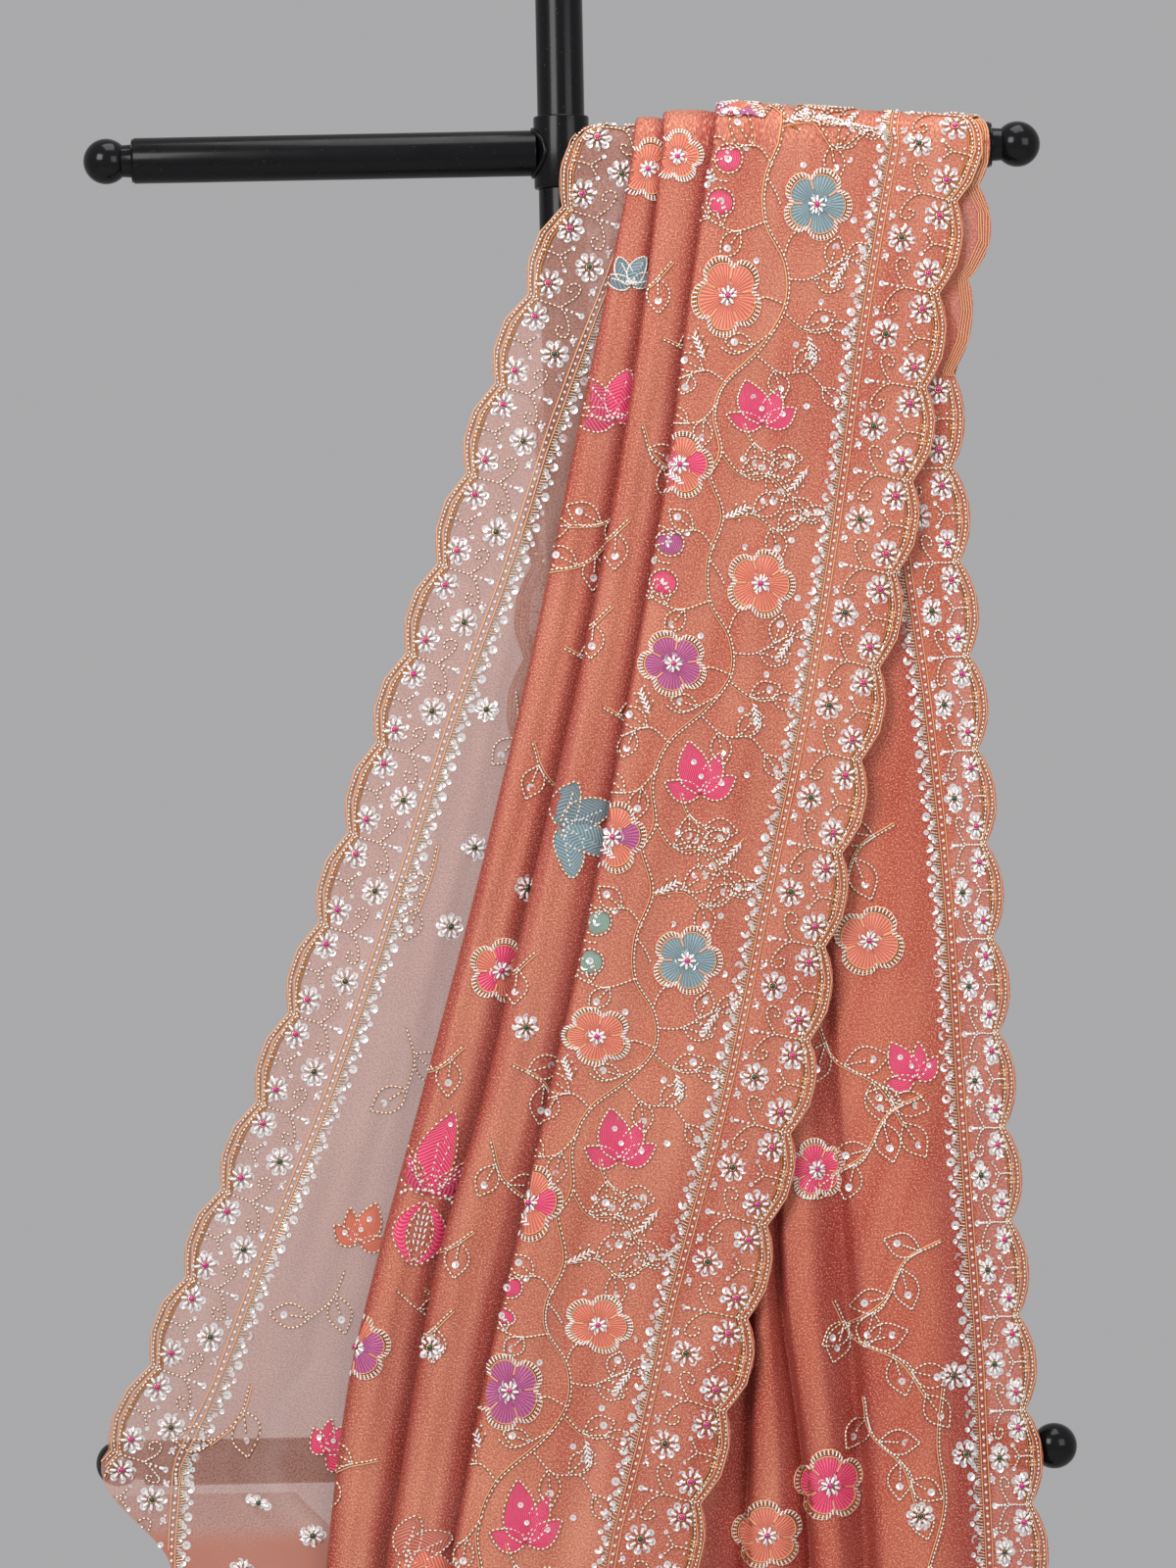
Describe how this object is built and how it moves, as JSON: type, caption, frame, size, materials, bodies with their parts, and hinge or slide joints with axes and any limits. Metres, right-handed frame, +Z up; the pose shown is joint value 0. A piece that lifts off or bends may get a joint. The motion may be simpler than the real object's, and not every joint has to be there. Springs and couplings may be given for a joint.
{
  "type": "silk sari on a display stand",
  "caption": "Embroidered sheer silk organza sari with scalloped beaded borders, folded in stacked pleats and hung over one arm of a black tube display stand.",
  "frame": {"origin": "middle of the underside of the stand's base disc, on the floor", "axes": "+Z is up along the post; the front fall faces -Y; +X is to the right seen from the front, along the arms, and the sari hangs over the upper arm on that side"},
  "size_m": [0.5309, 0.38, 1.7093],
  "materials": {
    "paint": "gloss black paint on steel tube",
    "knob": "gloss black moulded ball",
    "organza": "peach tissue silk organza with a gold shimmer",
    "sheer_organza": "single see-through layer of tissue silk organza",
    "border": "organza closely worked with cord, beads and sequins"
  },
  "bodies": {
    "root": {"base_disc": "paint", "base_collar": "paint", "post": "paint", "post_finial": "paint", "upper_collar": "paint", "upper_left_arm": "paint", "upper_left_knob": "knob", "upper_right_arm": "paint", "upper_right_knob": "knob", "lower_collar": "paint", "lower_left_arm": "paint", "lower_left_knob": "knob", "lower_right_arm": "paint", "lower_right_knob": "knob", "front_sheer_border": "border", "front_sheer_panel": "sheer_organza", "front_sheer_return": "sheer_organza", "front_first_pleat": "organza", "front_second_pleat": "organza", "front_top_panel": "organza", "front_top_border": "border", "front_under_panel": "organza", "front_under_border": "border", "back_sheer_border": "border", "back_sheer_panel": "sheer_organza", "back_first_pleat": "organza", "back_second_pleat": "organza", "back_top_panel": "organza", "back_top_border": "border", "back_under_border": "border"}
  },
  "joints": []
}
